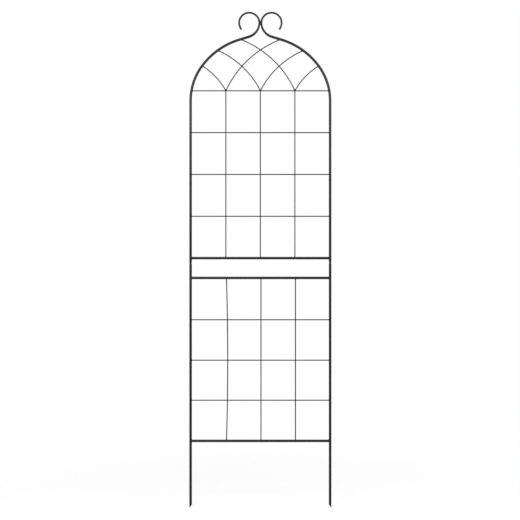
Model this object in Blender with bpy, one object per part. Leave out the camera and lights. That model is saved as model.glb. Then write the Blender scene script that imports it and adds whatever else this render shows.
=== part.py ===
"""Arched garden trellis in two panels, welded up from black powder-coated steel tube and wire.

The lower panel has two tube stiles whose slanted ends are pushed into the soil, a head rail and a
foot rail, and a grid of wires. The upper panel has two bent tube stiles that lean in as an arch,
touch at the top and curl out into scrolls. Its stiles end in swaged spigots that drop into the open
tops of the lower stiles, so the upper panel lifts off along Z. Crossing wires fill the arch.

Lengths are in metres. Z is up, X runs across the trellis and -Y is its front. The origin is midway
between the stiles on the underside of the lower foot rail, which is the soil line.
"""

import math
from itertools import accumulate

import bmesh
import bpy
from mathutils import Matrix, Vector
from mathutils.geometry import intersect_line_line_2d

# Tube and wire
TUBE_DIAMETER = 0.0095
TUBE_WALL = 0.0008
WIRE_DIAMETER = 0.004
WELD_GAP = 0.0003  # left between pieces that a weld joins

# Panels
PANEL_WIDTH = 0.5095  # outside to outside of the stiles
COLUMNS = 4
STAKE_LENGTH = 0.239  # foot rail's centre to the stake's tip
STAKE_POINT_ANGLE = 50.0  # degrees, between the slanted cut and level
LOWER_FOOT_ROW = 0.1455  # foot rail's centre to the first cross wire
LOWER_SECOND_ROW = 0.1435
LOWER_THIRD_ROW = 0.145
LOWER_HEAD_ROW = 0.150  # last cross wire to the head rail's centre
UPPER_ROW = 0.150
UPPER_ROW_COUNT = 4
RAIL_SPACING = 0.071  # lower head rail's centre to upper foot rail's centre
LOWER_UPRIGHT_SHIFT = 0.0022  # the lower uprights stand this far to the right of the upper ones
UPRIGHT_BOW = 0.0044  # how far the lower left upright is sprung out of line

# Slip joint between the panels
SOCKET_RISE = 0.051  # lower head rail's centre to the rim of the lower stile
SPIGOT_LENGTH = 0.045  # what goes into the lower stile
SPIGOT_CLEARANCE = 0.0003  # on the radius
SWAGE_LENGTH = 0.006  # the cone from spigot to full tube

# Arch, neck and scroll, to the tube's centre line
SHOULDER_DROP = 0.036  # arch base wire down to the start of the bend
SHOULDER_RADIUS = 0.210
SHOULDER_SWEEP = 36.9  # degrees
CROWN_SLOPE = 17.1  # degrees from level where the arch meets the neck
NECK_RADIUS = 0.052
SCROLL_RADIUS = 0.0362
SCROLL_SWEEP = 205.0  # degrees, from where the scrolls touch
SCROLL_TAIL = 0.010  # straight end of the scroll
SCROLL_DIAMETER = 0.007  # the tube is drawn down to this in the scroll

# Arch wires: name, column of the foot counted from the middle, radius, degrees from level at the foot
ARCH_WIRES = (
    ("short", 1, 0.250, 60.5),
    ("middle", 0, 0.311, 63.0),
    ("long", -1, 0.354, 65.5),
)

# Fineness of the sweeps
TUBE_FACETS = 4  # bevel resolution 4 gives 12 sides
WIRE_FACETS = 2  # bevel resolution 2 gives 8 sides
BEND_STEP = 4.0  # degrees
TIGHT_BEND_STEP = 9.0  # degrees
ARCH_WIRE_STEPS = 9
BOW_STEPS = 8
WELD_DISTANCE = 1e-6

# Sizes that follow from those above
TUBE_RADIUS = TUBE_DIAMETER / 2
WIRE_RADIUS = WIRE_DIAMETER / 2
STILE_X = PANEL_WIDTH / 2 - TUBE_RADIUS
COLUMN = (PANEL_WIDTH - 2 * TUBE_DIAMETER + WIRE_DIAMETER) / COLUMNS  # for openings of equal width
LAYER = WIRE_RADIUS + WELD_GAP / 2  # wires cross in two layers, this far before and behind the tubes
FRONT, BACK = -LAYER, LAYER
SPIGOT_DIAMETER = TUBE_DIAMETER - 2 * (TUBE_WALL + SPIGOT_CLEARANCE)

LOWER_ROWS = (LOWER_FOOT_ROW, LOWER_SECOND_ROW, LOWER_THIRD_ROW, LOWER_HEAD_ROW)
UPPER_ROWS = (UPPER_ROW,) * UPPER_ROW_COUNT
LOWER_FOOT_Z = TUBE_RADIUS
LOWER_HEAD_Z = LOWER_FOOT_Z + sum(LOWER_ROWS)
RIM_Z = LOWER_HEAD_Z + SOCKET_RISE
UPPER_FOOT_Z = LOWER_HEAD_Z + RAIL_SPACING
ARCH_BASE_Z = UPPER_FOOT_Z + sum(UPPER_ROWS)
SHOULDER_INSET = SHOULDER_RADIUS - math.sqrt(SHOULDER_RADIUS**2 - SHOULDER_DROP**2)
TIP_Z = LOWER_FOOT_Z - STAKE_LENGTH


class Bender:
    """Lays out a rod's centre line in the X-Z plane as straight runs and bends."""

    def __init__(self, x, z, heading, diameter):
        self.place = Vector((x, z))
        self.heading = math.radians(heading)
        self.diameter = diameter
        self.stations = [(x, z, diameter)]

    def _mark(self, place, diameter):
        self.stations.append((place.x, place.y, diameter))

    def run(self, length, diameter=None):
        """Goes straight on, to a new diameter if one is given."""
        self.diameter = diameter or self.diameter
        self.place = self.place + length * Vector((math.cos(self.heading), math.sin(self.heading)))
        self._mark(self.place, self.diameter)
        return self

    def bend(self, radius, degrees, step, diameter=None):
        """Bends round an arc, to the left if degrees is positive, easing to a new diameter."""
        side = math.copysign(1.0, degrees)
        to_centre = self.heading + side * math.pi / 2
        centre = self.place + radius * Vector((math.cos(to_centre), math.sin(to_centre)))
        sweep = math.radians(degrees)
        last = diameter or self.diameter
        count = max(1, math.ceil(abs(degrees) / step))
        for i in range(1, count + 1):
            angle = to_centre + math.pi + sweep * i / count
            place = centre + radius * Vector((math.cos(angle), math.sin(angle)))
            self._mark(place, self.diameter + (last - self.diameter) * i / count)
        self.place = place
        self.heading += sweep
        self.diameter = last
        return self


def upper_stile_line():
    """Centre line of the right upper stile, from the foot of its spigot to the end of its scroll."""
    shoulder, slope = math.radians(SHOULDER_SWEEP), math.radians(CROWN_SLOPE)
    arch_radius = SHOULDER_RADIUS + (STILE_X - SHOULDER_RADIUS) / math.cos(shoulder)
    touch_x = (SCROLL_DIAMETER + WELD_GAP) / 2
    neck_start_x = touch_x + NECK_RADIUS * (1 - math.sin(slope))
    crown_run = (arch_radius * math.sin(slope) - neck_start_x) / math.cos(slope)
    line = Bender(STILE_X, RIM_Z - SPIGOT_LENGTH, 90, SPIGOT_DIAMETER)
    line.run(SPIGOT_LENGTH)
    line.run(SWAGE_LENGTH, TUBE_DIAMETER)
    line.run(ARCH_BASE_Z - SHOULDER_DROP - line.place.y)
    line.bend(SHOULDER_RADIUS, SHOULDER_SWEEP, BEND_STEP)
    line.bend(arch_radius, 90 - CROWN_SLOPE - SHOULDER_SWEEP, BEND_STEP)
    line.run(crown_run)
    line.bend(NECK_RADIUS, CROWN_SLOPE - 90, TIGHT_BEND_STEP, SCROLL_DIAMETER)
    line.bend(SCROLL_RADIUS, -SCROLL_SWEEP, TIGHT_BEND_STEP)
    line.run(SCROLL_TAIL)
    return line.stations


def arch_wire_line(foot_x, radius, foot_angle):
    """Centre line of a wire that leans right, from the arch base wire to the right stile's line."""
    angle = math.radians(foot_angle)
    centre = Vector((foot_x + radius * math.sin(angle), ARCH_BASE_Z - radius * math.cos(angle)))
    stile = [Vector((x, z)) for x, z, _ in upper_stile_line()]

    def on_arc(turned):
        around = math.pi / 2 + angle - turned
        return centre + radius * Vector((math.cos(around), math.sin(around)))

    for degree in range(1, 180):
        a, b = on_arc(math.radians(degree - 1)), on_arc(math.radians(degree))
        hits = [intersect_line_line_2d(a, b, p, q) for p, q in zip(stile, stile[1:])]
        met = next((hit for hit in hits if hit), None)
        if met:
            to_hit = met - centre
            sweep = math.pi / 2 + angle - math.atan2(to_hit.y, to_hit.x)
            break
    line = Bender(foot_x, ARCH_BASE_Z, foot_angle, WIRE_DIAMETER)
    line.bend(radius, -math.degrees(sweep), math.degrees(sweep) / ARCH_WIRE_STEPS)
    return line.stations


def mirrored(stations):
    return [(-x, z, diameter) for x, z, diameter in stations]


def widened(stations, extra):
    return [(x, z, diameter + extra) for x, z, diameter in stations]


def swept_mesh(name, stations, facets, capped):
    """Round section swept along stations, as a mesh whose origin is the first station."""
    curve = bpy.data.curves.new(name, "CURVE")
    curve.dimensions = "3D"
    curve.bevel_depth = 1.0
    curve.bevel_resolution = facets
    curve.use_fill_caps = capped
    spline = curve.splines.new("POLY")
    spline.points.add(len(stations) - 1)
    start_x, start_z, _ = stations[0]
    for point, (x, z, diameter) in zip(spline.points, stations):
        point.co = (x - start_x, 0, z - start_z, 1)
        point.radius = diameter / 2
    holder = bpy.data.objects.new(name, curve)
    mesh = bpy.data.meshes.new_from_object(holder)
    bpy.data.objects.remove(holder)
    bpy.data.curves.remove(curve)
    work = bmesh.new()
    work.from_mesh(mesh)
    bmesh.ops.remove_doubles(work, verts=work.verts, dist=WELD_DISTANCE)
    bmesh.ops.recalc_face_normals(work, faces=work.faces)
    work.to_mesh(mesh)
    work.free()
    mesh.shade_smooth()
    mesh.set_sharp_from_angle(angle=math.radians(50))
    return mesh


def placed(name, mesh, x, y, z, panel):
    """An object of that mesh at a point of the trellis, carried by a panel."""
    piece = bpy.data.objects.new(name, mesh)
    bpy.context.scene.collection.objects.link(piece)
    piece.parent = panel
    piece.location = Vector((x, y, z)) - panel.location
    return piece


def tube(name, stations, panel, material):
    """A hollow tube along stations, open at both ends."""
    mesh = swept_mesh(name, stations, TUBE_FACETS, capped=False)
    mesh.materials.append(material)
    piece = placed(name, mesh, stations[0][0], 0, stations[0][1], panel)
    wall = piece.modifiers.new("wall", "SOLIDIFY")
    wall.thickness = TUBE_WALL
    wall.offset = -1
    wall.use_even_offset = True
    return piece


def wire(name, stations, y, panel, material):
    """A solid wire along stations, in the front or the back layer."""
    mesh = swept_mesh(name, stations, WIRE_FACETS, capped=True)
    mesh.materials.append(material)
    return placed(name, mesh, stations[0][0], y, stations[0][1], panel)


def as_cutter(piece):
    piece.hide_render = True
    piece.display_type = "WIRE"
    return piece


def tube_cutter(name, stations, panel):
    """The space that a tube and the gap round it take, to trim what butts against the tube."""
    wide = widened(stations, 2 * WELD_GAP)
    mesh = swept_mesh(name, wide, TUBE_FACETS, capped=True)
    return as_cutter(placed(name, mesh, stations[0][0], 0, stations[0][1], panel))


def block_cutter(name, size, matrix, panel):
    """A cube of that size, with its top face's middle at the matrix's own origin."""
    mesh = bpy.data.meshes.new(name)
    work = bmesh.new()
    bmesh.ops.create_cube(work, size=size, matrix=matrix @ Matrix.Translation((0, 0, -size / 2)))
    work.to_mesh(mesh)
    work.free()
    return as_cutter(placed(name, mesh, 0, 0, 0, panel))


def trim(piece, *cutters):
    """Cuts a piece back from each cutter."""
    for cutter in cutters:
        cut = piece.modifiers.new(cutter.name, "BOOLEAN")
        cut.operation = "DIFFERENCE"
        cut.solver = "EXACT"
        cut.object = cutter


def level_line(z, diameter, reach=STILE_X):
    """Centre line from one stile's axis to the other's."""
    return [(-reach, z, diameter), (reach, z, diameter)]


def row_levels(foot_z, rows):
    """Heights of the cross wires between a panel's two ends."""
    return list(accumulate(rows[:-1], initial=foot_z))[1:]


def upright_line(x, low, high, bow=0.0):
    """Centre line of an upright wire, which may be sprung sideways between its ends."""
    steps = BOW_STEPS if bow else 1
    shares = [i / steps for i in range(steps + 1)]
    return [
        (x + bow * 4 * share * (1 - share), low + (high - low) * share, WIRE_DIAMETER)
        for share in shares
    ]


def build_grid(prefix, z_levels, uprights, panel, material, stile_cutters, rail_cutters):
    """The cross wires of a panel, behind, and its upright wires, in front."""
    for number, z in enumerate(z_levels, 1):
        cross = wire(f"{prefix}_cross_wire_{number}", level_line(z, WIRE_DIAMETER), BACK, panel, material)
        trim(cross, *stile_cutters)
    for side, line in uprights:
        trim(wire(f"{prefix}_upright_wire_{side}", line, FRONT, panel, material), *rail_cutters)


def build_rail(name, z, panel, material, stile_cutters):
    """A tube between the stiles, its ends shaped to sit against them, and the cutter of its own space."""
    line = level_line(z, TUBE_DIAMETER)
    trim(tube(name, line, panel, material), *stile_cutters)
    return tube_cutter(f"{name}_space", line, panel)


def build_lower_panel(panel, tube_paint, wire_paint):
    stile = [(STILE_X, TIP_Z, TUBE_DIAMETER), (STILE_X, RIM_Z, TUBE_DIAMETER)]
    stile_cutters = []
    for side, line in (("left", mirrored(stile)), ("right", stile)):
        outward = math.copysign(1.0, line[0][0])
        tip = Matrix.Translation((outward * (STILE_X + TUBE_RADIUS), 0, TIP_Z))
        slant = Matrix.Rotation(outward * math.radians(STAKE_POINT_ANGLE), 4, "Y")
        point_cutter = block_cutter(f"{side}_point_space", STAKE_LENGTH, tip @ slant, panel)
        trim(tube(f"lower_{side}_stile", line, panel, tube_paint), point_cutter)
        stile_cutters.append(tube_cutter(f"lower_{side}_stile_space", line, panel))
    rail_cutters = [
        build_rail("lower_foot_rail", LOWER_FOOT_Z, panel, tube_paint, stile_cutters),
        build_rail("lower_head_rail", LOWER_HEAD_Z, panel, tube_paint, stile_cutters),
    ]
    levels = row_levels(LOWER_FOOT_Z, LOWER_ROWS)
    uprights = [
        ("left", upright_line(LOWER_UPRIGHT_SHIFT - COLUMN, LOWER_FOOT_Z, LOWER_HEAD_Z, UPRIGHT_BOW)),
        ("middle", upright_line(LOWER_UPRIGHT_SHIFT, LOWER_FOOT_Z, LOWER_HEAD_Z)),
        ("right", upright_line(LOWER_UPRIGHT_SHIFT + COLUMN, LOWER_FOOT_Z, LOWER_HEAD_Z)),
    ]
    build_grid("lower", levels, uprights, panel, wire_paint, stile_cutters, rail_cutters)


def build_arch_wires(panel, material, stile_cutters):
    """Wires that lean left run in front, and those that lean right run behind."""
    left_stile, right_stile = stile_cutters
    foot = Matrix.Translation((0, 0, ARCH_BASE_Z + WIRE_RADIUS + WELD_GAP))
    foot_cutter = block_cutter("arch_foot_space", PANEL_WIDTH, foot, panel)
    for name, column, radius, foot_angle in ARCH_WIRES:
        line = arch_wire_line(column * COLUMN, radius, foot_angle)
        leans_right = wire(f"arch_wire_right_{name}", line, BACK, panel, material)
        trim(leans_right, foot_cutter, right_stile)
        leans_left = wire(f"arch_wire_left_{name}", mirrored(line), FRONT, panel, material)
        trim(leans_left, foot_cutter, left_stile)


def build_upper_panel(panel, tube_paint, wire_paint):
    stile = upper_stile_line()
    stile_cutters = []
    for side, line in (("left", mirrored(stile)), ("right", stile)):
        tube(f"upper_{side}_stile", line, panel, tube_paint)
        stile_cutters.append(tube_cutter(f"upper_{side}_stile_space", line, panel))
    rail_cutter = build_rail("upper_foot_rail", UPPER_FOOT_Z, panel, tube_paint, stile_cutters)
    base_line = level_line(ARCH_BASE_Z, WIRE_DIAMETER, STILE_X - SHOULDER_INSET)
    trim(wire("arch_base_wire", base_line, BACK, panel, wire_paint), *stile_cutters)
    levels = row_levels(UPPER_FOOT_Z, UPPER_ROWS)
    top = ARCH_BASE_Z + WIRE_RADIUS
    uprights = [
        ("left", upright_line(-COLUMN, UPPER_FOOT_Z, top)),
        ("middle", upright_line(0, UPPER_FOOT_Z, top)),
        ("right", upright_line(COLUMN, UPPER_FOOT_Z, top)),
    ]
    build_grid("upper", levels, uprights, panel, wire_paint, stile_cutters, [rail_cutter])
    build_arch_wires(panel, wire_paint, stile_cutters)


def powder_coat(name, roughness):
    material = bpy.data.materials.new(name)
    material.use_nodes = True
    shader = material.node_tree.nodes["Principled BSDF"]
    shader.inputs["Base Color"].default_value = (0.021, 0.021, 0.022, 1)
    shader.inputs["Roughness"].default_value = roughness
    shader.inputs["Metallic"].default_value = 0.0
    return material


def panel_empty(name, z):
    empty = bpy.data.objects.new(name, None)
    empty.location = (0, 0, z)
    bpy.context.scene.collection.objects.link(empty)
    return empty


def main():
    for old in list(bpy.data.objects):
        bpy.data.objects.remove(old)
    tube_paint = powder_coat("tube_powder_coat", 0.45)
    wire_paint = powder_coat("wire_powder_coat", 0.5)
    build_lower_panel(panel_empty("lower_panel", 0.0), tube_paint, wire_paint)
    build_upper_panel(panel_empty("upper_panel", RIM_Z), tube_paint, wire_paint)


main()
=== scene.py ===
import math
from dataclasses import dataclass, replace

import bmesh
import bpy
from bpy.props import FloatProperty, FloatVectorProperty, IntProperty, PointerProperty
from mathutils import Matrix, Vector
from mathutils.geometry import intersect_line_line_2d


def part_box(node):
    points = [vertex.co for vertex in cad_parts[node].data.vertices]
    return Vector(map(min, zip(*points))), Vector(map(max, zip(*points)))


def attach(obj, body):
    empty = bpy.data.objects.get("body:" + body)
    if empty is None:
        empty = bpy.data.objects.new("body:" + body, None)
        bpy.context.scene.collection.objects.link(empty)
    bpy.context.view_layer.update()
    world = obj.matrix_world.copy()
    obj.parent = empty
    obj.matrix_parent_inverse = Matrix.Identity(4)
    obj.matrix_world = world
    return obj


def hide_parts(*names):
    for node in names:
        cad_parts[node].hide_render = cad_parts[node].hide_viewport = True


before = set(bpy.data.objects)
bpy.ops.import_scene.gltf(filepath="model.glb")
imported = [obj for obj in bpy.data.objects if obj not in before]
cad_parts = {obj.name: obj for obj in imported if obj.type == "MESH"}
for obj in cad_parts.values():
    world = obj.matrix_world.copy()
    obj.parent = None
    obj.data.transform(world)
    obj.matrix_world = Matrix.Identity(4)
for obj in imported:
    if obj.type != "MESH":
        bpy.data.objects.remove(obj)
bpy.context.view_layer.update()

# Everything is in metres, in the CAD model's frame: Z up from the soil line, X across the trellis and -Y
# out of its front.

bl_info = {
    "name": "Garden trellis",
    "version": (1, 0, 0),
    "blender": (4, 5, 0),
    "location": "3D View > Sidebar > Trellis",
    "description": "Coated tubes, wires and welds for a garden trellis whose upper panel lifts off",
    "category": "Object",
}

LOWER, UPPER = "lower_panel", "upper_panel"

MERGE_GAP = 1e-6  # points of a skin that are this close become one
LIP_RUN = 8  # lips of straight side before a rounded edge, so that the shading turns only at the edge
LIP_TURNS = (0, 30, 60, 90)  # degrees round a lip at its rings
WIDE_STEP = math.radians(2)  # from ring to ring in the shoulder and the arch
TIGHT_STEP = math.radians(4)  # from ring to ring in the neck and the scroll
SWAGE_STEPS = 6
BOW_STEPS = 16
ARCH_WIRE_STEPS = 28
SEARCH_STEP = math.radians(0.25)  # along an arch wire while it looks for the stile
SEAT_DEPTH = 0.00005  # how far a coped end sinks into what it sits against
ARCH_FEET = (60.5, 63.0, 65.5)  # degrees from level at the feet of the short, middle and long arch wires


def middle(node):
    """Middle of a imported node's box."""
    low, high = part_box(node)
    return (low + high) / 2


def extent(node):
    """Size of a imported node's box."""
    low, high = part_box(node)
    return high - low


# ---------------------------------------------------------------- properties


def length(name, description, default):
    return FloatProperty(name=name, description=description, default=default, unit="LENGTH", precision=5)


def angle(name, description, degrees):
    return FloatProperty(name=name, description=description, default=math.radians(degrees), subtype="ANGLE")


def colour(name, description, default):
    return FloatVectorProperty(name=name, description=description, default=default, subtype="COLOR")


def each_arch_wire(name, description, default, unit):
    """Three values: for the short, the middle and the long arch wires."""
    return FloatVectorProperty(name=name, description=description, default=default, unit=unit, precision=5)


def power(name, description, watts):
    return FloatProperty(name=name, description=description, default=watts, unit="POWER")


def number(name, description, default):
    return FloatProperty(name=name, description=description, default=default, precision=4)


class TrellisSizes(bpy.types.PropertyGroup):
    tube_diameter: length("Tube diameter", "Outside of the frame tube", extent("lower_left_stile").x)
    tube_wall: length("Tube wall", "Thickness of the frame tube's wall", 0.0008)
    wire_diameter: length("Wire diameter", "Wire of the grid and the arch", extent("lower_cross_wire_1").z)
    spigot_diameter: length("Spigot diameter", "Swaged end that drops into the lower stile", 0.0073)
    spigot_length: length("Spigot length", "Part of the spigot below the rim", 0.045)
    swage_length: length("Swage length", "Cone from the spigot to the full tube", 0.006)
    stake_angle: angle("Stake angle", "Slant of the stake's cut from level", 50.0)
    upright_bow: length("Upright bow", "Spring of the lower left upright out of line", 0.0044)
    shoulder_drop: length("Shoulder drop", "Arch base wire down to the start of the bend", 0.036)
    shoulder_radius: length("Shoulder radius", "First bend of the upper stile", 0.210)
    shoulder_sweep: angle("Shoulder sweep", "Angle of the first bend", 36.9)
    crown_slope: angle("Crown slope", "Slope where the arch meets the neck", 17.1)
    neck_radius: length("Neck radius", "Bend from the crown up to the scroll", 0.052)
    scroll_radius: length("Scroll radius", "Bend of the scroll", 0.0362)
    scroll_sweep: angle("Scroll sweep", "Angle of the scroll's bend", 205.0)
    scroll_tail: length("Scroll tail", "Straight end of the scroll", 0.010)
    scroll_diameter: length("Scroll diameter", "The tube is drawn down to this in the scroll", 0.007)
    arch_wire_bends: each_arch_wire(
        "Arch wire bends", "Radii of the short, middle and long arch wires", (0.250, 0.311, 0.354), "LENGTH"
    )
    arch_wire_feet: each_arch_wire(
        "Arch wire feet", "Angles from level at the feet", [math.radians(a) for a in ARCH_FEET], "ROTATION"
    )
    lip: length("Lip", "Rounding of a cut edge", 0.00015)
    tube_sides: IntProperty(name="Tube sides", description="Faces round a tube", default=32)
    wire_sides: IntProperty(name="Wire sides", description="Faces round a wire", default=16)
    rail_bead: length("Rail bead", "Weld bead round a rail's end", 0.0011)
    wire_bead: length("Wire bead", "Weld bead round a wire's end", 0.0007)
    nugget_width: length("Nugget width", "Squeezed metal where two wires cross", 0.0053)


class TrellisFinish(bpy.types.PropertyGroup):
    coat: colour("Coat", "Black powder coat", (0.0062, 0.0062, 0.0064))
    thin_coat: colour("Thin coat", "The coat where it draws thin over a cut edge", (0.05, 0.05, 0.05))
    dust: colour("Dust", "Fine dust held in the coat's texture", (0.03, 0.0295, 0.0285))
    roughness: number("Roughness", "Mean roughness of the coat", 0.33)
    sheen_level: number("Specular level", "Reflectivity of the coat", 0.23)


class TrellisStudio(bpy.types.PropertyGroup):
    lens: FloatProperty(name="Lens", description="Focal length", default=80.0, unit="CAMERA")
    distance: length("Camera distance", "From the trellis to the camera", 4.1415)
    aim_x: length("Camera X", "Where the camera stands across the trellis", -0.0013)
    aim_z: length("Camera height", "Where the camera stands above the soil line", 0.653)
    key_power: power("Key light", "Power of the lamp in front", 22.0)
    fill_power: power("Fill light", "Power of the lamp on the right", 15.0)
    ambient: number("Ambient", "Strength of the room's soft light", 0.42)
    white: number("White", "Brightness of the background to the camera", 1.0)
    floor_radius: length("Floor radius", "Size of the round floor", 1.5)
    floor_glow: number("Floor glow", "What lifts the floor to the background's white", 0.65)


def sizes():
    return bpy.context.scene.trellis_sizes


def finish():
    return bpy.context.scene.trellis_finish


def studio():
    return bpy.context.scene.trellis_studio


# ------------------------------------------------------------- node writing


class Socket:
    """A node's output that can be used in Python sums."""

    def __init__(self, graph, output):
        self.graph = graph
        self.output = output

    def _math(self, operation, *values):
        return self.graph.node("ShaderNodeMath", {"operation": operation}, dict(enumerate(values)))

    def __add__(self, other):
        return self._math("ADD", self, other)

    __radd__ = __add__

    def __sub__(self, other):
        return self._math("SUBTRACT", self, other)

    def __rsub__(self, other):
        return self._math("SUBTRACT", other, self)

    def __mul__(self, other):
        return self._math("MULTIPLY", self, other)

    __rmul__ = __mul__

    def __truediv__(self, other):
        return self._math("DIVIDE", self, other)

    def __rtruediv__(self, other):
        return self._math("DIVIDE", other, self)

    def maths(self, operation, *values):
        """Any other Math operation on this value."""
        return self._math(operation, self, *values)


class Graph:
    """Writes nodes into a node tree."""

    def __init__(self, tree):
        self.tree = tree

    def node(self, kind, settings=None, inputs=None, output=0):
        """Adds a node, sets it up, feeds its sockets and returns one of its outputs."""
        made = self.tree.nodes.new(kind)
        for name, value in (settings or {}).items():
            setattr(made, name, value)
        self.feed(made, inputs or {})
        return Socket(self, made.outputs[output]) if made.outputs else made

    def feed(self, node, inputs):
        """Feeds a node's sockets, each by a link or with a plain value."""
        for name, value in inputs.items():
            if isinstance(value, Socket):
                self.tree.links.new(value.output, node.inputs[name])
            else:
                node.inputs[name].default_value = value

    def vector(self, operation, first, second):
        """Vector Math on two vectors, or on a vector and a number for SCALE."""
        inputs = {0: first, "Scale" if operation == "SCALE" else 1: second}
        return self.node("ShaderNodeVectorMath", {"operation": operation}, inputs)

    def blend(self, share, first, second):
        """Mixes two colours, which are inputs 6 and 7 and output 2 of a Mix node."""
        return self.node("ShaderNodeMix", {"data_type": "RGBA"}, {0: share, 6: first, 7: second}, 2)

    def mask(self, value, low, high):
        """0 below low and 1 above high, with a smooth rise between."""
        inputs = {"Value": value, "From Min": low, "From Max": high}
        return self.node("ShaderNodeMapRange", {"interpolation_type": "SMOOTHSTEP"}, inputs)


def geometry_tree(name, defaults):
    """A new geometry tree whose inputs are a geometry, the numbers in defaults and a material, as
    (tree, graph, inputs by name)."""
    tree = bpy.data.node_groups.new(name, "GeometryNodeTree")

    def add(label, kind, in_out="INPUT"):
        return tree.interface.new_socket(name=label, in_out=in_out, socket_type=f"NodeSocket{kind}")

    add("Geometry", "Geometry")
    for label, default in defaults.items():
        add(label, "Int" if isinstance(default, int) else "Float").default_value = default
    add("Material", "Material")
    add("Geometry", "Geometry", "OUTPUT")
    graph = Graph(tree)
    entry = tree.nodes.new("NodeGroupInput")
    given = {socket.name: Socket(graph, socket) for socket in entry.outputs if socket.name}
    return tree, graph, given


def end_tree(graph, geometry, material):
    """Closes a geometry tree: real mesh, smooth, with its material."""
    smooth = graph.node("GeometryNodeSetShadeSmooth", None, {"Geometry": geometry, "Shade Smooth": True})
    real = graph.node("GeometryNodeRealizeInstances", None, {"Geometry": smooth})
    coated = graph.node("GeometryNodeSetMaterial", None, {"Geometry": real, "Material": material})
    graph.node("NodeGroupOutput", None, {"Geometry": coated})


def carried(graph, label, kind="FLOAT"):
    """A value that the source's points carry."""
    return graph.node("GeometryNodeInputNamedAttribute", {"data_type": kind}, {"Name": label})


def lumps(graph, seed, scale):
    """Noise from place to place, about 0."""
    inputs = {"Vector": graph.node("GeometryNodeInputPosition"), "W": seed, "Scale": scale, "Detail": 1.0}
    return graph.node("ShaderNodeTexNoise", {"noise_dimensions": "4D"}, inputs) - 0.5


def skin_tree():
    """The skin of a bent tube or wire. Its input has one point for each ring of the skin, in order, each with
    its across and along directions, radius, cope, slant and wear. The rings are joined as a grid that is
    rolled up round the centre line, and a radius of 0 closes an end."""
    name = "bent_skin"
    if name in bpy.data.node_groups:
        return bpy.data.node_groups[name]
    tree, graph, given = geometry_tree(name, {"Sides": 32, "Layer": 0.0, "Seat radius": 0.00475})
    rings = given["Geometry"]
    count = graph.node("GeometryNodeAttributeDomainSize", {"component": "MESH"}, {"Geometry": rings})
    columns = given["Sides"] + 1
    grid = graph.node("GeometryNodeMeshGrid", None, {"Vertices X": count, "Vertices Y": columns})
    index = graph.node("GeometryNodeInputIndex")
    ring = ((index + 0.5) / columns).maths("FLOOR")
    turn = (index - ring * columns) / given["Sides"] * math.tau

    def sampled(value, kind):
        settings = {"data_type": kind, "domain": "POINT"}
        inputs = {"Geometry": rings, "Value": value, "Index": ring}
        return graph.node("GeometryNodeSampleIndex", settings, inputs)

    def stored(label, kind="FLOAT"):
        return sampled(carried(graph, label, kind), kind)

    radius = stored("radius")
    sideways = radius * turn.maths("SINE")
    depth = radius * turn.maths("COSINE") + given["Layer"]
    chord = (given["Seat radius"] * given["Seat radius"] - depth * depth).maths("MAXIMUM", 0.0).maths("SQRT")
    shift = stored("cope") * (given["Seat radius"] - chord) + stored("slant") * sideways
    place = sampled(graph.node("GeometryNodeInputPosition"), "FLOAT_VECTOR")
    place = graph.vector("ADD", place, graph.vector("SCALE", stored("across", "FLOAT_VECTOR"), sideways))
    place = graph.vector("ADD", place, graph.vector("SCALE", stored("along", "FLOAT_VECTOR"), shift))
    place = graph.vector("ADD", place, graph.node("ShaderNodeCombineXYZ", None, {"Y": depth}))
    worn = graph.node(
        "GeometryNodeStoreNamedAttribute",
        {"data_type": "FLOAT", "domain": "POINT"},
        {"Geometry": grid, "Name": "wear", "Value": stored("wear")},
    )
    rolled = graph.node("GeometryNodeSetPosition", None, {"Geometry": worn, "Position": place})
    closed = graph.node("GeometryNodeMergeByDistance", None, {"Geometry": rolled, "Distance": MERGE_GAP})
    end_tree(graph, closed, given["Material"])
    return tree


def bead_tree():
    """Weld beads along the edges of the input, whose points have a radius. A bead swells and sinks in
    ripples."""
    name = "weld_beads"
    if name in bpy.data.node_groups:
        return bpy.data.node_groups[name]
    defaults = {
        "Ripple pitch": 0.0013,
        "Ripple height": 0.13,
        "Lumpiness": 2.5,
        "Lump scale": 420.0,
        "Sides": 10,
        "Seed": 3.0,
    }
    tree, graph, given = geometry_tree(name, defaults)
    curve = graph.node("GeometryNodeMeshToCurve", None, {"Mesh": given["Geometry"]})
    run = graph.node("GeometryNodeSplineParameter", None, None, "Length")
    ripple = (run / given["Ripple pitch"] * math.tau).maths("SINE")
    unevenness = lumps(graph, given["Seed"], given["Lump scale"]) * given["Lumpiness"]
    width = carried(graph, "radius") * ((ripple * 0.5 + unevenness) * given["Ripple height"] + 1.0)
    round_section = {"Resolution": given["Sides"], "Radius": 1.0}
    section = graph.node("GeometryNodeCurvePrimitiveCircle", None, round_section)
    inputs = {"Curve": curve, "Profile Curve": section, "Scale": width, "Fill Caps": True}
    end_tree(graph, graph.node("GeometryNodeCurveToMesh", None, inputs), given["Material"])
    return tree


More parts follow.
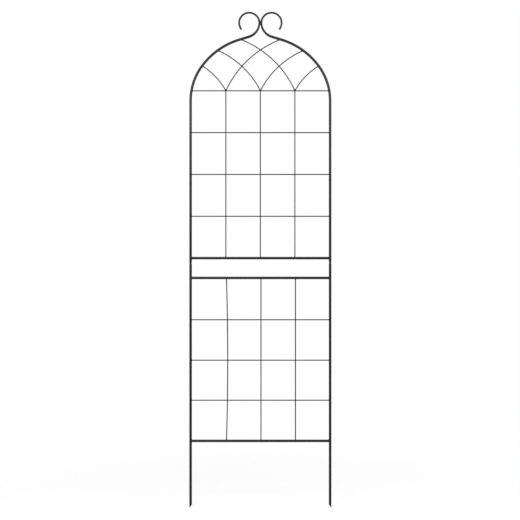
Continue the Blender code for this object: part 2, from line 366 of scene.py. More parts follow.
def nugget_tree():
    """A flattened lump of squeezed metal at each point, of the point's width and turned in the trellis's
    plane."""
    name = "weld_nuggets"
    if name in bpy.data.node_groups:
        return bpy.data.node_groups[name]
    defaults = {"Thickness": 0.0022, "Lumpiness": 0.22, "Lump scale": 500.0, "Seed": 5.0}
    tree, graph, given = geometry_tree(name, defaults)
    width = carried(graph, "width")
    turned = {"Axis": (0, 1, 0), "Angle": carried(graph, "turn")}
    rotation = graph.node("FunctionNodeAxisAngleToRotation", None, turned)
    size = graph.node("ShaderNodeCombineXYZ", None, {"X": width, "Y": given["Thickness"], "Z": width})
    ball = graph.node("GeometryNodeMeshIcoSphere", None, {"Radius": 0.5, "Subdivisions": 3})
    spread = {"Points": given["Geometry"], "Instance": ball, "Rotation": rotation, "Scale": size}
    balls = graph.node("GeometryNodeInstanceOnPoints", None, spread)
    real = graph.node("GeometryNodeRealizeInstances", None, {"Geometry": balls})
    push = lumps(graph, given["Seed"], given["Lump scale"]) * given["Lumpiness"] * given["Thickness"]
    offset = graph.vector("SCALE", graph.node("GeometryNodeInputNormal"), push)
    moved = graph.node("GeometryNodeSetPosition", None, {"Geometry": real, "Offset": offset})
    end_tree(graph, moved, given["Material"])
    return tree


def grown(tree, source, inputs):
    """The plain mesh that a geometry tree makes from a source mesh."""
    holder = bpy.data.objects.new("growing", source)
    bpy.context.scene.collection.objects.link(holder)
    modifier = holder.modifiers.new("growing", "NODES")
    modifier.node_group = tree
    for item in tree.interface.items_tree:
        if item.in_out == "INPUT" and item.name in inputs:
            modifier[item.identifier] = inputs[item.name]
    graph = bpy.context.evaluated_depsgraph_get()
    mesh = bpy.data.meshes.new_from_object(
        holder.evaluated_get(graph), preserve_all_data_layers=True, depsgraph=graph
    )
    bpy.data.objects.remove(holder)
    bpy.data.meshes.remove(source)
    if not mesh.polygons:
        raise RuntimeError(f"{tree.name} made no faces")
    return mesh


def points_mesh(places, edges, attributes):
    """A mesh of loose points or lines that carries attributes for a geometry tree."""
    mesh = bpy.data.meshes.new("points")
    mesh.from_pydata(places, edges, [])
    for name, values in attributes.items():
        vector = isinstance(values[0], (tuple, Vector))
        layer = mesh.attributes.new(name, "FLOAT_VECTOR" if vector else "FLOAT", "POINT")
        flat = [part for value in values for part in value] if vector else values
        layer.data.foreach_set("vector" if vector else "value", flat)
    return mesh


def show(name, mesh, body, nodes=()):
    """A finished piece at the origin that rides on a body and stands for nodes."""
    mesh.name = name
    piece = bpy.data.objects.new(name, mesh)
    bpy.context.scene.collection.objects.link(piece)
    if nodes:
        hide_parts(*nodes)
    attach(piece, body)
    return piece


# -------------------------------------------------------------- centre lines


@dataclass
class Ring:
    """One ring of a skin, round a point of the centre line in the X-Z plane."""

    x: float
    z: float
    heading: float  # radians from +X
    radius: float
    cope: float = 0.0  # how far the ring follows the tube that it sits against
    slant: float = 0.0  # metres along for each metre across
    wear: float = 0.0

    def moved(self, along, radius, wear=0.0):
        return replace(
            self,
            x=self.x + along * math.cos(self.heading),
            z=self.z + along * math.sin(self.heading),
            radius=radius,
            wear=wear,
        )


class Bender:
    """Lays out a centre line as straight runs and bends."""

    def __init__(self, x, z, heading, radius):
        self.rings = [Ring(x, z, heading, radius)]

    def run(self, distance, radius=None, steps=1):
        """Goes straight on, easing to a new radius if one is given."""
        last = self.rings[-1]
        target = last.radius if radius is None else radius
        for step in range(1, steps + 1):
            share = step / steps
            eased = share * share * (3 - 2 * share)
            self.rings.append(last.moved(distance * share, last.radius + (target - last.radius) * eased))
        return self

    def bend(self, bend_radius, sweep, step, radius=None):
        """Bends round an arc, to the left if sweep is positive, easing to a new radius."""
        last = self.rings[-1]
        target = last.radius if radius is None else radius
        side = math.copysign(1.0, sweep)
        to_centre = last.heading + side * math.pi / 2
        centre_x = last.x + bend_radius * math.cos(to_centre)
        centre_z = last.z + bend_radius * math.sin(to_centre)
        count = max(1, math.ceil(abs(sweep) / step))
        for i in range(1, count + 1):
            share = i / count
            around = to_centre + math.pi + sweep * share
            self.rings.append(
                Ring(
                    centre_x + bend_radius * math.cos(around),
                    centre_z + bend_radius * math.sin(around),
                    last.heading + sweep * share,
                    last.radius + (target - last.radius) * share,
                )
            )
        return self

    @property
    def end(self):
        return self.rings[-1]


def mirrored(rings):
    """The same rings on the trellis's other side."""
    return [replace(r, x=-r.x, heading=math.pi - r.heading, slant=-r.slant) for r in rings]


def corner(ring, facing, radius, side, wear):
    """The rounded edge of a cut end, from the tube's side to its end face. Facing is 1 at a far end and -1 at
    a near end, and side is 1 outside and -1 in the bore."""
    lip = sizes().lip
    rings = [ring.moved(-facing * LIP_RUN * lip, radius)]
    for turned in LIP_TURNS:
        phi = math.radians(turned)
        drawn_in = side * lip * (1 - math.cos(phi))
        rings.append(ring.moved(facing * lip * (math.sin(phi) - 1), radius - drawn_in, wear))
    return rings


def hollow(rings, wall):
    """The rings of a tube's whole wall: its outside, its far lip, its bore and its near lip. The coat is thin
    on the lips, but not where an end is coped and welded."""
    near, far = rings[0], rings[-1]
    bore = [replace(r, radius=r.radius - wall) for r in reversed(rings[1:-1])]
    near_wear, far_wear = (0.0 if end.cope else 1.0 for end in (near, far))
    loop = (
        corner(near, -1, near.radius, 1, near_wear)[::-1]
        + rings[1:-1]
        + corner(far, 1, far.radius, 1, far_wear)
        + corner(far, 1, far.radius - wall, -1, far_wear)[::-1]
        + bore
        + corner(near, -1, near.radius - wall, -1, near_wear)
    )
    return loop + loop[:1]


def solid(rings):
    """The rings of a solid wire, closed at both ends, which are welded."""
    near, far = rings[0], rings[-1]
    return (
        [near.moved(0, 0.0)]
        + corner(near, -1, near.radius, 1, 0.0)[::-1]
        + rings[1:-1]
        + corner(far, 1, far.radius, 1, 0.0)
        + [far.moved(0, 0.0)]
    )


def skin(rings, sides, layer, material):
    """The mesh of a tube or wire from its rings."""
    source = points_mesh(
        [(r.x, 0, r.z) for r in rings],
        [],
        {
            "across": [(math.sin(r.heading), 0.0, -math.cos(r.heading)) for r in rings],
            "along": [(math.cos(r.heading), 0.0, math.sin(r.heading)) for r in rings],
            "radius": [r.radius for r in rings],
            "cope": [r.cope for r in rings],
            "slant": [r.slant for r in rings],
            "wear": [r.wear for r in rings],
        },
    )
    inputs = {"Sides": sides, "Layer": layer, "Seat radius": sizes().tube_diameter / 2, "Material": material}
    return grown(skin_tree(), source, inputs)


def stile_x():
    """X of the right stiles' axis."""
    return middle("lower_right_stile").x


def arch_base_z():
    """Height of the axis of the wire that the arch wires stand on."""
    return middle("arch_base_wire").z


def rim_z():
    """Height of the rims that the spigots drop into."""
    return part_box("lower_right_stile")[1].z


def lower_stile_rings():
    """The right lower stile, from its slanted point to its open rim."""
    s = sizes()
    radius = s.tube_diameter / 2
    low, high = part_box("lower_right_stile")
    slope = math.tan(s.stake_angle)
    line = Bender(stile_x(), low.z + radius * slope, math.pi / 2, radius)
    line.run(high.z - line.end.z)
    line.rings[0].slant = -slope
    return line.rings


def upper_stile_rings():
    """The right upper stile, from the foot of its spigot to the end of its scroll."""
    s = sizes()
    radius = s.tube_diameter / 2
    reach = stile_x()
    arch_radius = s.shoulder_radius + (reach - s.shoulder_radius) / math.cos(s.shoulder_sweep)
    touch_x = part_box("upper_right_stile")[0].x + s.scroll_diameter / 2
    neck_start_x = touch_x + s.neck_radius * (1 - math.sin(s.crown_slope))
    crown_run = (arch_radius * math.sin(s.crown_slope) - neck_start_x) / math.cos(s.crown_slope)
    line = Bender(reach, rim_z() - s.spigot_length, math.pi / 2, s.spigot_diameter / 2)
    line.run(s.spigot_length)
    line.run(s.swage_length, radius, SWAGE_STEPS)
    line.run(arch_base_z() - s.shoulder_drop - line.end.z)
    line.bend(s.shoulder_radius, s.shoulder_sweep, WIDE_STEP)
    line.bend(arch_radius, math.pi / 2 - s.crown_slope - s.shoulder_sweep, WIDE_STEP)
    line.run(crown_run)
    line.bend(s.neck_radius, s.crown_slope - math.pi / 2, TIGHT_STEP, s.scroll_diameter / 2)
    line.bend(s.scroll_radius, -s.scroll_sweep, TIGHT_STEP)
    line.run(s.scroll_tail)
    return line.rings


def seated(ring, outward, lean=0.0):
    """A ring shaped to sit against a tube. Outward is 1 at a far end and -1 at a near end, and lean is the
    angle by which the wire strays from square to the tube."""
    return replace(
        ring.moved(outward * SEAT_DEPTH, ring.radius),
        cope=outward / math.cos(lean),
        slant=outward * math.tan(lean),
    )


def rail_rings(node, diameter, lean=0.0, reach=None):
    """A straight level tube or wire whose ends sit against the stiles."""
    seat = sizes().tube_diameter / 2
    reach = stile_x() if reach is None else reach
    inner = reach - seat / math.cos(lean)
    z = middle(node).z
    near = seated(Ring(-inner, z, 0.0, diameter / 2), -1, -lean)
    far = seated(Ring(inner, z, 0.0, diameter / 2), 1, lean)
    return [near, far]


def shoulder_at(z):
    """X and heading of the right upper stile's centre line at a height on its shoulder."""
    rings = upper_stile_rings()
    for a, b in zip(rings, rings[1:]):
        if a.z <= z <= b.z and b.z > a.z:
            share = (z - a.z) / (b.z - a.z)
            return a.x + (b.x - a.x) * share, a.heading + (b.heading - a.heading) * share
    raise RuntimeError("the upper stile doesn't reach that height")


def upright_rings(x, low, high, seat_high, bow):
    """An upright wire that sits on a rail's axis at one height and reaches another, where it sits against a
    rail too or ends free. A bow springs it out of line in a parabola."""
    s = sizes()
    seat = s.tube_diameter / 2
    bottom = low + seat
    top = high - seat if seat_high else high
    steps = BOW_STEPS if bow else 1
    rings = []
    for i in range(steps + 1):
        z = bottom + (top - bottom) * i / steps
        share = (z - low) / (high - low)
        sprung = x + bow * 4 * share * (1 - share)
        slope = bow * 4 * (1 - 2 * share) / (high - low)
        rings.append(Ring(sprung, z, math.pi / 2 - math.atan(slope), s.wire_diameter / 2))
    rings[0] = seated(rings[0], -1)
    if seat_high:
        rings[-1] = seated(rings[-1], 1)
    return rings


# the arch wires, with the column of the foot counted from the middle
ARCH_WIRES = (("short", 1), ("middle", 0), ("long", -1))


def arch_wire_rings(column, bend_radius, foot, foot_rise):
    """A wire that leans right, from its foot to its seat on the right stile. The foot is an angle from level,
    and its end is cut level, at a rise over the base wire's axis."""
    s = sizes()
    foot_x = column * middle("upper_upright_wire_right").x
    centre = Vector((foot_x + bend_radius * math.sin(foot), arch_base_z() - bend_radius * math.cos(foot)))
    stile = upper_stile_rings()

    def point(turned):
        around = math.pi / 2 + foot - turned
        return centre + bend_radius * Vector((math.cos(around), math.sin(around)))

    turned = SEARCH_STEP
    hit = None
    while hit is None:
        if turned > math.pi:
            raise RuntimeError("an arch wire doesn't meet the stile")
        a, b = point(turned - SEARCH_STEP), point(turned)
        for p, q in zip(stile, stile[1:]):
            hit = intersect_line_line_2d(a, b, Vector((p.x, p.z)), Vector((q.x, q.z)))
            if hit:
                tube_heading = (p.heading + q.heading) / 2
                break
        turned += SEARCH_STEP
    met = math.pi / 2 + foot - math.atan2(hit.y - centre.y, hit.x - centre.x)
    square = tube_heading - math.pi / 2
    lean = square - (foot - met)
    end = met - s.tube_diameter / 2 / math.cos(lean) / bend_radius
    start = foot_rise / (bend_radius * math.sin(foot))
    rings = []
    for i in range(ARCH_WIRE_STEPS + 1):
        t = start + (end - start) * i / ARCH_WIRE_STEPS
        p = point(t)
        rings.append(Ring(p.x, p.y, foot - t, s.wire_diameter / 2))
    lean = square - rings[-1].heading
    rings[-1] = seated(rings[-1], 1, -lean)
    rings[0].slant = math.tan(math.pi / 2 - rings[0].heading)
    return rings


# ----------------------------------------------------------------- finishes


# the coat's noises: clouds of dust, streaks along the tubes, orange peel and specks
CLOUD_SCALE, STREAK_SCALE, GRAIN_SCALE, SPECK_SCALE = 18.0, 160.0, 900.0, 3600.0
STREAK_DRAW = (1.0, 1.0, 0.12)  # draws the streaks out along Z
ROUGHNESS_SHARES = (0.16, 0.1, 0.2)  # what clouds, streaks and dust add to the coat's roughness
PEEL_SHARES = (0.8, 0.2)  # what grain and specks add to its height
SIDE_DUST = 0.3  # dust on a face that doesn't look up, as a share of what one that does holds
SPECK_DUST = 0.35  # dust in a speck, as a share of a full cover
# values between which an effect comes in
CLOUD_EDGE, SPECK_EDGE, UPWARD_EDGE = (0.42, 0.7), (0.64, 0.78), (0.2, 1.0)
WORN_EDGE, THIN_EDGE = (0.3, 1.0), (0.4, 0.62)


def coat_material(name, peel, dust_share):
    """Satin black powder coat: fine orange peel, uneven gloss, a little dust and thin cut edges."""
    if name in bpy.data.materials:
        return bpy.data.materials[name]
    f = finish()
    material = bpy.data.materials.new(name)
    material.use_nodes = True
    graph = Graph(material.node_tree)
    place = graph.node("ShaderNodeTexCoord", None, None, "Object")

    def noise(scale, detail, where=place, roughness=0.55):
        inputs = {"Vector": where, "Scale": scale, "Detail": detail, "Roughness": roughness}
        return graph.node("ShaderNodeTexNoise", None, inputs)

    cloud, grain, speck = noise(CLOUD_SCALE, 3.0), noise(GRAIN_SCALE, 2.0), noise(SPECK_SCALE, 1.0)
    drawn_out = graph.node("ShaderNodeMapping", None, {"Vector": place, "Scale": STREAK_DRAW})
    streak = noise(STREAK_SCALE, 2.0, drawn_out, 0.5)
    wear = graph.node("ShaderNodeAttribute", {"attribute_name": "wear"}, None, "Fac")
    normal = graph.node("ShaderNodeNewGeometry", None, None, "Normal")
    upward = graph.node("ShaderNodeSeparateXYZ", None, {"Vector": normal}, "Z")
    # dust lies in clouds, most of it on faces that look up, and as specks all over
    settled = graph.mask(upward, *UPWARD_EDGE) * (1 - SIDE_DUST) + SIDE_DUST
    dusty = graph.mask(cloud, *CLOUD_EDGE) * settled * dust_share
    flecks = graph.mask(speck, *SPECK_EDGE) * SPECK_DUST * dust_share
    thin = graph.mask(wear, *WORN_EDGE) * graph.mask(grain, *THIN_EDGE)
    paint = graph.blend(dusty + flecks, (*f.coat, 1), (*f.dust, 1))
    paint = graph.blend(thin, paint, (*f.thin_coat, 1))
    cloudy, streaky, dulled = ROUGHNESS_SHARES
    roughness = (cloud - 0.5) * cloudy + (streak - 0.5) * streaky + dusty * dulled + f.roughness
    height = grain * PEEL_SHARES[0] + speck * PEEL_SHARES[1]
    bump = graph.node("ShaderNodeBump", None, {"Height": height, "Strength": 1.0, "Distance": peel})
    look = {"Base Color": paint, "Roughness": roughness, "Normal": bump, "Specular IOR Level": f.sheen_level}
    graph.feed(material.node_tree.nodes["Principled BSDF"], look)
    return material


def tube_coat():
    return coat_material("tube_powder_coat", peel=0.00012, dust_share=0.25)


def wire_coat():
    return coat_material("wire_powder_coat", peel=0.0001, dust_share=0.2)


def weld_coat():
    return coat_material("weld_powder_coat", peel=0.00015, dust_share=0.3)


# --------------------------------------------------------------------- welds

# these four are shares of a bead's radius
BEAD_STEP = 0.25  # along the bead
BEAD_STANDOFF = 0.2  # its centre from the side of the tube or wire
BEAD_MARGIN = 1.2  # its centre from the frame's front and back
BEAD_THINNING = 0.6  # what it loses out there

FOOT_SINK = 0.8  # radius of the bead's line at a front arch wire's foot, as a share of the wire's
FOOT_BEAD = 1.7  # how much larger that bead is than a wire's usual one
FOOT_NUGGET = 1.2  # how much wider the nugget on the base wire is than at a crossing

SCROLL_WELD_DEPTH = 0.0026  # Y of the lumps' centres, in front and behind
SCROLL_WELD_REACH = 0.0065  # from the touching point to the row's ends
SCROLL_WELD_WIDTH = 0.0046
SCROLL_WELD_TAPER = 0.35  # what the lumps lose towards the row's ends
SCROLL_WELD_COUNT = 11


def seat_loop(ring, layer, bead_radius, seat, seat_y):
    """The closed line where an end meets the tube or wire that it sits against, as places and radii. The bead
    draws thin and sinks in towards the frame's front and back, where there is no groove for it to fill."""
    count = round(math.tau * ring.radius / (BEAD_STEP * bead_radius))
    face = sizes().tube_diameter / 2
    along = Vector((math.cos(ring.heading), 0, math.sin(ring.heading)))
    across = Vector((math.sin(ring.heading), 0, -math.cos(ring.heading)))
    loop, radii = [], []
    for i in range(count):
        turn = math.tau * i / count
        depth = layer + ring.radius * math.cos(turn)
        bead = bead_radius * (1 - BEAD_THINNING * abs(depth / face) ** 4)
        deepest = face - BEAD_MARGIN * bead
        radius = ring.radius + BEAD_STANDOFF * bead
        sideways = radius * math.sin(turn)
        depth = max(-deepest, min(deepest, layer + radius * math.cos(turn)))
        chord = math.sqrt(max(seat**2 - (depth - seat_y) ** 2, 0.0))
        shift = ring.cope * (seat - chord) + ring.slant * sideways
        loop.append(Vector((ring.x, depth, ring.z)) + across * sideways + along * shift)
        radii.append(bead)
    return loop, radii


class WeldBook:
    """Collects a panel's welds: bead lines round ends, and nuggets between crossing wires."""

    def __init__(self):
        self.places, self.edges, self.radii = [], [], []
        self.nuggets = []

    def bead(self, loop, radii):
        """A bead along a closed line."""
        first, count = len(self.places), len(loop)
        self.places += loop
        self.radii += radii
        self.edges += [(first + i, first + (i + 1) % count) for i in range(count)]

    def seat(self, ring, layer, bead_radius, seat=None, seat_y=0.0):
        """A bead round an end, which sits against a stile or rail unless another seat is given."""
        seat = seat or sizes().tube_diameter / 2
        self.bead(*seat_loop(ring, layer, bead_radius, seat, seat_y))

    def ends(self, lines, which, layer):
        """Beads round the ends of wires, 0 for the near end and -1 for the far one."""
        for rings in lines.values():
            for end in which:
                self.seat(rings[end], layer, sizes().wire_bead)

    def crossings(self, front, back, width):
        """Nuggets where wires of the front layer cross those of the back layer."""
        for a_line in front:
            for b_line in back:
                self._cross(a_line, b_line, width)

    def _cross(self, a_line, b_line, width):
        for a, b in zip(a_line, a_line[1:]):
            for c, d in zip(b_line, b_line[1:]):
                hit = intersect_line_line_2d(*[Vector((r.x, r.z)) for r in (a, b, c, d)])
                if hit:
                    turn = -(a.heading + c.heading) / 2
                    self.nuggets.append((Vector((hit.x, 0, hit.y)), width, turn))
                    return


# ----------------------------------------------------------------- operators


def show_tube(name, rings, body, node):
    """Shows a hollow tube that stands for one node."""
    s = sizes()
    mesh = skin(hollow(rings, s.tube_wall), s.tube_sides, 0.0, tube_coat())
    show(name, mesh, body, [node])


def show_stiles(right, panel, piece, body):
    """Shows a panel's right stile and its mirror image."""
    for side, rings in (("left", mirrored(right)), ("right", right)):
        show_tube(f"{side}_{piece}", rings, body, f"{panel}_{side}_stile")


class TRELLIS_OT_lower_stiles(bpy.types.Operator):
    """Build the two lower stiles, each with a slanted stake point and an open rim"""

    bl_idname = "trellis.lower_stiles"
    bl_label = "Lower stiles"

    def execute(self, context):
        show_stiles(lower_stile_rings(), "lower", "stake_tube", LOWER)
        return {"FINISHED"}


class TRELLIS_OT_upper_stiles(bpy.types.Operator):
    """Build the two upper stiles, each one tube from its swaged spigot to its scroll"""

    bl_idname = "trellis.upper_stiles"
    bl_label = "Upper stiles"

    def execute(self, context):
        show_stiles(upper_stile_rings(), "upper", "scroll_tube", UPPER)
        return {"FINISHED"}


RAILS = (("lower_foot_rail", LOWER), ("lower_head_rail", LOWER), ("upper_foot_rail", UPPER))


class TRELLIS_OT_rails(bpy.types.Operator):
    """Build the level tubes, their ends coped to the stiles"""

    bl_idname = "trellis.rails"
    bl_label = "Rails"

    def execute(self, context):
        for node, body in RAILS:
            show_tube(f"{node}_tube", rail_rings(node, sizes().tube_diameter), body, node)
        return {"FINISHED"}


def wire_layers():
    """Y of the wires in front and behind."""
    return middle("lower_upright_wire_middle").y, middle("lower_cross_wire_1").y


def base_wire_rings():
    """The arch base wire, whose ends meet the stiles a little above the start of the shoulders."""
    x, heading = shoulder_at(arch_base_z())
    lean = heading - math.pi / 2
    return rail_rings("arch_base_wire", sizes().wire_diameter, lean, x)


def cross_wire_lines(panel):
    """Node and rings of each level wire of a panel."""
    s = sizes()
    lines = {}
    for row in (1, 2, 3):
        node = f"{panel}_cross_wire_{row}"
        lines[node] = rail_rings(node, s.wire_diameter)
    if panel == "upper":
        lines["arch_base_wire"] = base_wire_rings()
    return lines


def upright_wire_lines(panel):
    """Node and rings of each upright wire of a panel."""
    s = sizes()
    lines = {}
    if panel == "lower":
        low, high = middle("lower_foot_rail").z, middle("lower_head_rail").z
    else:
        low, high = middle("upper_foot_rail").z, arch_base_z() + s.wire_diameter / 2
    start = middle(f"{panel}_upright_wire_middle").x
    pitch = middle("upper_upright_wire_right").x
    for side, column in (("left", -1), ("middle", 0), ("right", 1)):
        bow = s.upright_bow if (panel, side) == ("lower", "left") else 0.0
        x = start + column * pitch
        lines[f"{panel}_upright_wire_{side}"] = upright_rings(x, low, high, panel == "lower", bow)
    return lines


def arch_wire_lines():
    """Node and rings of each arch wire, those that lean left and those that lean right."""
    s = sizes()
    left, right = {}, {}
    for (name, column), bend_radius, foot in zip(ARCH_WIRES, s.arch_wire_bends, s.arch_wire_feet):
        on_upright = arch_wire_rings(column, bend_radius, foot, s.wire_diameter / 2)
        left[f"arch_wire_left_{name}"] = mirrored(on_upright)
        right[f"arch_wire_right_{name}"] = arch_wire_rings(column, bend_radius, foot, 0.0)
    return left, right


def show_wires(lines, layer, body):
    """Shows solid wires whose axes lie in one layer."""
    s = sizes()
    for node, rings in lines.items():
        mesh = skin(solid(rings), s.wire_sides, layer, wire_coat())
        show(f"{node}_rod", mesh, body, [node])


class TRELLIS_OT_grid_wires(bpy.types.Operator):
    """Build the level and upright wires of both panels"""

    bl_idname = "trellis.grid_wires"
    bl_label = "Grid wires"

    def execute(self, context):
        front, back = wire_layers()
        for panel, body in (("lower", LOWER), ("upper", UPPER)):
            show_wires(cross_wire_lines(panel), back, body)
            show_wires(upright_wire_lines(panel), front, body)
        return {"FINISHED"}


class TRELLIS_OT_arch_wires(bpy.types.Operator):
    """Build the curved wires that cross in the arch"""

    bl_idname = "trellis.arch_wires"
    bl_label = "Arch wires"

    def execute(self, context):
        front, back = wire_layers()
        left, right = arch_wire_lines()
        show_wires(left, front, UPPER)
        show_wires(right, back, UPPER)
        return {"FINISHED"}


class TRELLIS_OT_welds(bpy.types.Operator):
    """Build the beads round the rails' and wires' ends, the nuggets where wires cross and the scroll welds"""

    bl_idname = "trellis.welds"
    bl_label = "Welds"

    def execute(self, context):
        s = sizes()
        front, back = wire_layers()
        left, right = arch_wire_lines()
        for panel, body in (("lower", LOWER), ("upper", UPPER)):
            book = WeldBook()
            for node, rail_body in RAILS:
                if rail_body == body:
                    for ring in rail_rings(node, s.tube_diameter):
                        book.seat(ring, 0.0, s.rail_bead)
            crosses, uprights = cross_wire_lines(panel), upright_wire_lines(panel)
            book.ends(crosses, (0, -1), back)
            book.ends(uprights, (0, -1) if panel == "lower" else (0,), front)
            book.crossings(uprights.values(), crosses.values(), s.nugget_width)
            if panel == "upper":
                book.ends(left, (-1,), front)
                book.ends(right, (-1,), back)
                book.crossings(left.values(), right.values(), s.nugget_width)
                self.foot_welds(book, left, right)
                self.scroll_welds(book)
            self.show_book(book, panel, body)
        return {"FINISHED"}

    def foot_welds(self, book, left, right):
        """Where the arch wires stand: in front on the uprights' ends and behind on the base wire."""
        s = sizes()
        front, back = wire_layers()
        seat = s.wire_diameter / 2
        for rings in left.values():
            sunk = replace(rings[0], radius=FOOT_SINK * seat)
            book.seat(sunk, front, FOOT_BEAD * s.wire_bead)
        for rings in right.values():
            foot = rings[0]
            rise = math.sin(foot.heading)
            on_wire = replace(foot.moved(seat / rise, seat), cope=-1 / rise, slant=foot.slant)
            book.seat(on_wire, back, s.wire_bead, seat, back)
            place = Vector((foot.x, 0, arch_base_z() + seat))
            book.nuggets.append((place, FOOT_NUGGET * s.nugget_width, 0.0))

    def scroll_welds(self, book):
        """A row of overlapping lumps in front and behind, across the groove where the two necks touch."""
        s = sizes()
        touching_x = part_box("upper_right_stile")[0].x + s.scroll_diameter / 2
        touching = min(
            (r for r in upper_stile_rings() if r.z > arch_base_z() and r.x < 2 * touching_x),
            key=lambda r: abs(r.x - touching_x),
        )
        for y in (-SCROLL_WELD_DEPTH, SCROLL_WELD_DEPTH):
            for i in range(SCROLL_WELD_COUNT):
                share = 2 * i / (SCROLL_WELD_COUNT - 1) - 1
                place = Vector((0, y, touching.z + SCROLL_WELD_REACH * share))
                width = SCROLL_WELD_WIDTH * (1 - SCROLL_WELD_TAPER * share**4)
                book.nuggets.append((place, width, 0.0))

    def show_book(self, book, panel, body):
        source = points_mesh(book.places, book.edges, {"radius": book.radii})
        beads = grown(bead_tree(), source, {"Material": weld_coat()})
        show(f"{panel}_weld_beads", beads, body)
        places, widths, turns = zip(*book.nuggets)
        source = points_mesh(places, [], {"width": widths, "turn": turns})
        nuggets = grown(nugget_tree(), source, {"Material": weld_coat()})
        show(f"{panel}_weld_nuggets", nuggets, body)


LAMP_AIM = (0.0, 0.0, 1.05)  # both lamps point here
LAMP_SIZE = 0.6
KEY_PLACE = (-0.45, -1.9, 1.45)
FILL_PLACE = (1.2, -1.6, 1.45)
SENSOR_WIDTH = 36.0  # millimetres
FLOOR_GAP = 0.0005  # from the stakes' points down to the floor
FLOOR_SIDES = 64
FLOOR_FADE = (0.3, 0.95)  # shares of the floor's radius between which it fades into the background
FLOOR_LIT = (0.8, 0.8, 0.8, 1)  # the floor's colour in the light that it throws on the trellis
FLOOR_SEEN = (0.5, 0.5, 0.5, 1)  # its colour where it is seen, with its glow added
BLACK = (0, 0, 0, 1)
WHITE = (1, 1, 1, 1)


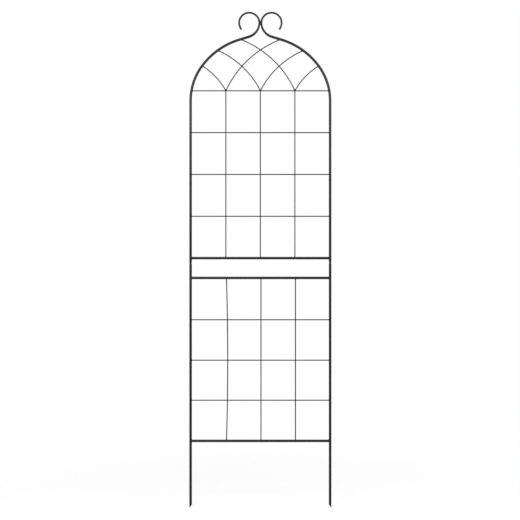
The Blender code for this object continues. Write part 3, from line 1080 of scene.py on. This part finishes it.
class TRELLIS_OT_studio(bpy.types.Operator):
    """Build the floor, the room's light, the lamps and the camera"""

    bl_idname = "trellis.studio"
    bl_label = "Studio"

    def execute(self, context):
        self.room()
        self.floor()
        self.lamp("key", KEY_PLACE, studio().key_power)
        self.lamp("fill", FILL_PLACE, studio().fill_power)
        self.camera()
        bpy.context.scene.view_settings.view_transform = "Standard"
        return {"FINISHED"}

    def seen_directly(self, graph):
        """1 for rays that show the background: from the camera, off gloss or through glass."""
        camera, gloss, glass = (
            graph.node("ShaderNodeLightPath", None, None, f"Is {kind} Ray")
            for kind in ("Camera", "Glossy", "Transmission")
        )
        return camera.maths("MAXIMUM", gloss).maths("MAXIMUM", glass)

    def room(self):
        world = bpy.data.worlds.new("room")
        world.use_nodes = True
        bpy.context.scene.world = world
        graph = Graph(world.node_tree)
        seen = self.seen_directly(graph)
        ambient = studio().ambient
        strength = seen * (studio().white - ambient) + ambient
        graph.feed(world.node_tree.nodes["Background"], {"Color": WHITE, "Strength": strength})

    def floor(self):
        radius = studio().floor_radius
        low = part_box("lower_left_stile")[0].z - FLOOR_GAP
        mesh = bpy.data.meshes.new("floor")
        work = bmesh.new()
        bmesh.ops.create_circle(work, cap_ends=True, segments=FLOOR_SIDES, radius=radius)
        bmesh.ops.translate(work, verts=work.verts, vec=(0, 0, low))
        work.to_mesh(mesh)
        work.free()
        mesh.materials.append(self.floor_material(radius))
        floor = bpy.data.objects.new("floor", mesh)
        bpy.context.scene.collection.objects.link(floor)

    def floor_material(self, radius):
        """A matt floor that glows up to white where it is seen, keeps shadows and fades out at its rim."""
        material = bpy.data.materials.new("pale_floor")
        material.use_nodes = True
        tree = material.node_tree
        graph = Graph(tree)
        shader = tree.nodes["Principled BSDF"]
        seen = self.seen_directly(graph)
        graph.feed(
            shader,
            {
                "Base Color": graph.blend(seen, FLOOR_LIT, FLOOR_SEEN),
                "Roughness": 0.9,
                "Specular IOR Level": 0.1,
                "Emission Color": graph.blend(seen, BLACK, (*[studio().floor_glow] * 3, 1)),
                "Emission Strength": 1.0,
            },
        )
        place = graph.node("ShaderNodeTexCoord", None, None, "Object")
        out = graph.node("ShaderNodeVectorMath", {"operation": "LENGTH"}, {0: place}, "Value")
        faded = graph.mask(out, *(share * radius for share in FLOOR_FADE)) * seen
        inputs = {0: faded, 1: Socket(graph, shader.outputs[0]), 2: graph.node("ShaderNodeBsdfTransparent")}
        both = graph.node("ShaderNodeMixShader", None, inputs)
        graph.feed(tree.nodes["Material Output"], {"Surface": both})
        return material

    def lamp(self, name, place, watts):
        data = bpy.data.lights.new(name, "AREA")
        data.shape = "DISK"
        data.size = LAMP_SIZE
        data.energy = watts
        lamp = bpy.data.objects.new(name, data)
        lamp.location = place
        lamp.rotation_euler = (Vector(LAMP_AIM) - Vector(place)).to_track_quat("-Z", "Y").to_euler()
        bpy.context.scene.collection.objects.link(lamp)

    def camera(self):
        view = studio()
        data = bpy.data.cameras.new("camera")
        data.lens = view.lens
        data.sensor_width = SENSOR_WIDTH
        camera = bpy.data.objects.new("camera", data)
        camera.location = (view.aim_x, -view.distance, view.aim_z)
        camera.rotation_euler = (math.pi / 2, 0, 0)
        bpy.context.scene.collection.objects.link(camera)
        bpy.context.scene.camera = camera


PIECES = (
    TRELLIS_OT_lower_stiles,
    TRELLIS_OT_upper_stiles,
    TRELLIS_OT_rails,
    TRELLIS_OT_grid_wires,
    TRELLIS_OT_arch_wires,
    TRELLIS_OT_welds,
    TRELLIS_OT_studio,
)


class TRELLIS_PT_sidebar(bpy.types.Panel):
    """Lists the trellis's sizes, finish and pieces"""

    bl_idname = "TRELLIS_PT_sidebar"
    bl_label = "Trellis"
    bl_space_type = "VIEW_3D"
    bl_region_type = "UI"
    bl_category = "Trellis"

    def draw(self, context):
        for group in (sizes(), finish(), studio()):
            box = self.layout.box()
            for name in group.__annotations__:
                box.prop(group, name)
        for operator in PIECES:
            self.layout.operator(operator.bl_idname)


GROUPS = (
    ("trellis_sizes", TrellisSizes),
    ("trellis_finish", TrellisFinish),
    ("trellis_studio", TrellisStudio),
)


def register():
    for name, group in GROUPS:
        bpy.utils.register_class(group)
        setattr(bpy.types.Scene, name, PointerProperty(type=group))
    for made in (*PIECES, TRELLIS_PT_sidebar):
        bpy.utils.register_class(made)


def unregister():
    for made in reversed((*PIECES, TRELLIS_PT_sidebar)):
        bpy.utils.unregister_class(made)
    for name, group in reversed(GROUPS):
        delattr(bpy.types.Scene, name)
        bpy.utils.unregister_class(group)


def main():
    register()
    for operator in PIECES:
        family, name = operator.bl_idname.split(".")
        getattr(getattr(bpy.ops, family), name)()


if __name__ == "__main__":
    main()
